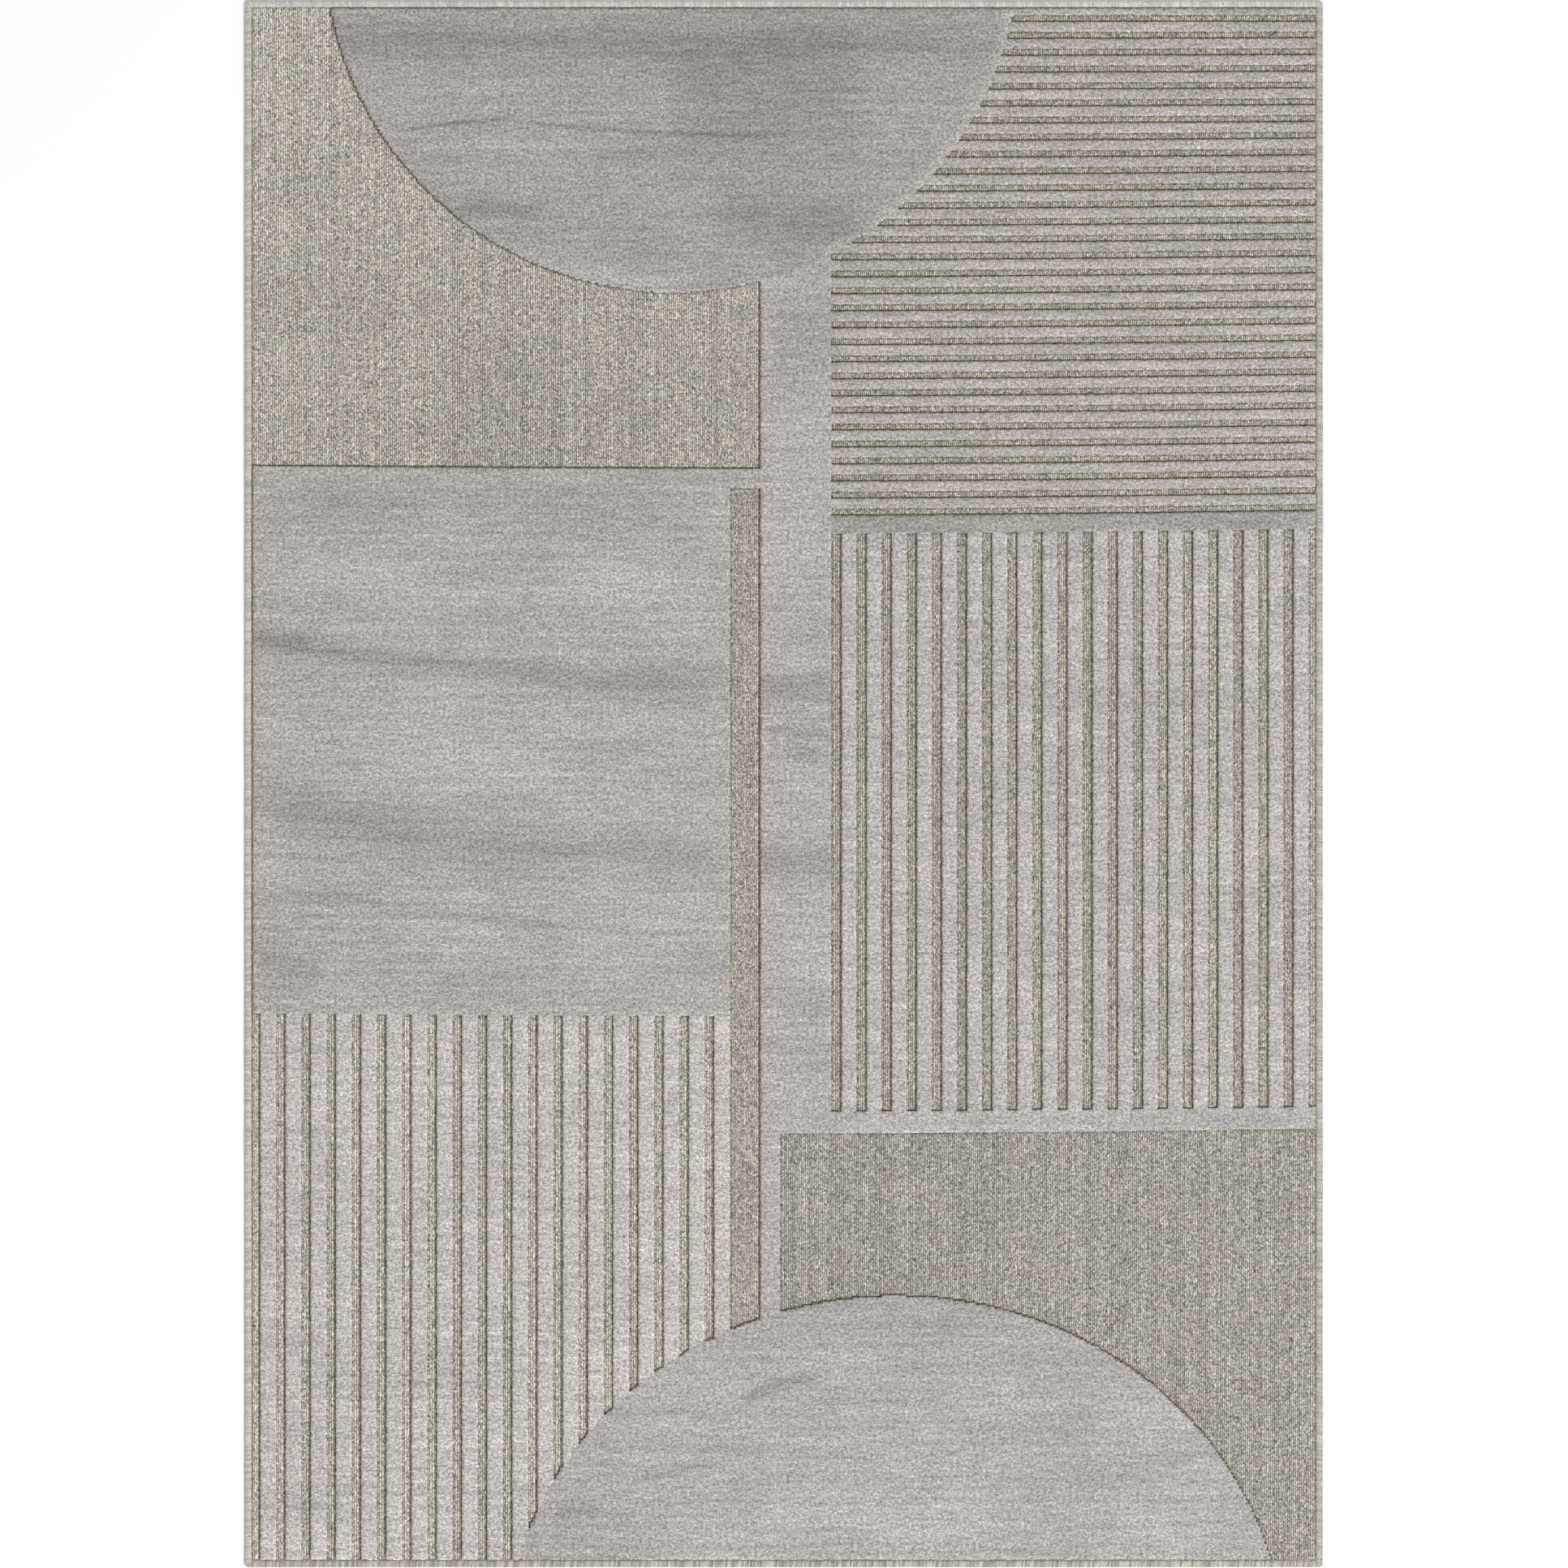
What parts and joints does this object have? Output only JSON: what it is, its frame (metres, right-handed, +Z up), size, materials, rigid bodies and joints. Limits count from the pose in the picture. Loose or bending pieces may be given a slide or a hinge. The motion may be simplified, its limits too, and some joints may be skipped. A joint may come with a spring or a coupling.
{
  "type": "area rug",
  "caption": "Rectangular high-low woven area rug: flat woven ground with raised cut-pile half discs, square, bands and ribs, latex back coat and overlocked edges.",
  "frame": {"origin": "on the floor, under the middle of the rug", "axes": "+X across the width, towards the side with the ribbed fields; +Y along the length, towards the smaller half disc; +Z up, out of the pile"},
  "size_m": [1.6, 2.325, 0.0108],
  "materials": {
    "pile": "matt warm-grey cut pile",
    "flat_weave": "matt flat weave, two-tone greige yarn",
    "binding": "overlocked yarn, slightly lighter",
    "seam": "matt sewing thread",
    "backing": "jute weft",
    "latex": "matt cured latex over the weave"
  },
  "bodies": {
    "root": {"latex_back_coat": "latex", "backing_weave": "backing", "flat_weave_face": "flat_weave", "pile_top_half_disc": "pile", "pile_left_square": "pile", "pile_centre_band": "pile", "pile_upper_cross_band": "pile", "pile_lower_cross_band": "pile", "pile_bottom_half_disc": "pile", "pile_horizontal_rib_comb": "pile", "pile_right_rib_01": "pile", "pile_right_rib_02": "pile", "pile_right_rib_03": "pile", "pile_right_rib_04": "pile", "pile_right_rib_05": "pile", "pile_right_rib_06": "pile", "pile_right_rib_07": "pile", "pile_right_rib_08": "pile", "pile_right_rib_09": "pile", "pile_right_rib_10": "pile", "pile_right_rib_11": "pile", "pile_right_rib_12": "pile", "pile_right_rib_13": "pile", "pile_right_rib_14": "pile", "pile_right_rib_15": "pile", "pile_right_rib_16": "pile", "pile_right_rib_17": "pile", "pile_right_rib_18": "pile", "pile_right_rib_19": "pile", "pile_left_rib_01": "pile", "pile_left_rib_02": "pile", "pile_left_rib_03": "pile", "pile_left_rib_04": "pile", "pile_left_rib_05": "pile", "pile_left_rib_06": "pile", "pile_left_rib_07": "pile", "pile_left_rib_08": "pile", "pile_left_rib_09": "pile", "pile_left_rib_10": "pile", "pile_left_rib_11": "pile", "pile_left_rib_12": "pile", "pile_left_rib_13": "pile", "pile_left_rib_14": "pile", "pile_left_rib_15": "pile", "pile_left_rib_16": "pile", "pile_left_rib_17": "pile", "pile_left_rib_18": "pile", "pile_left_rib_19": "pile", "binding_left": "binding", "binding_right": "binding", "binding_top": "binding", "binding_bottom": "binding", "seam_thread_left": "seam", "seam_thread_right": "seam", "seam_thread_top": "seam", "seam_thread_bottom": "seam"}
  },
  "joints": []
}
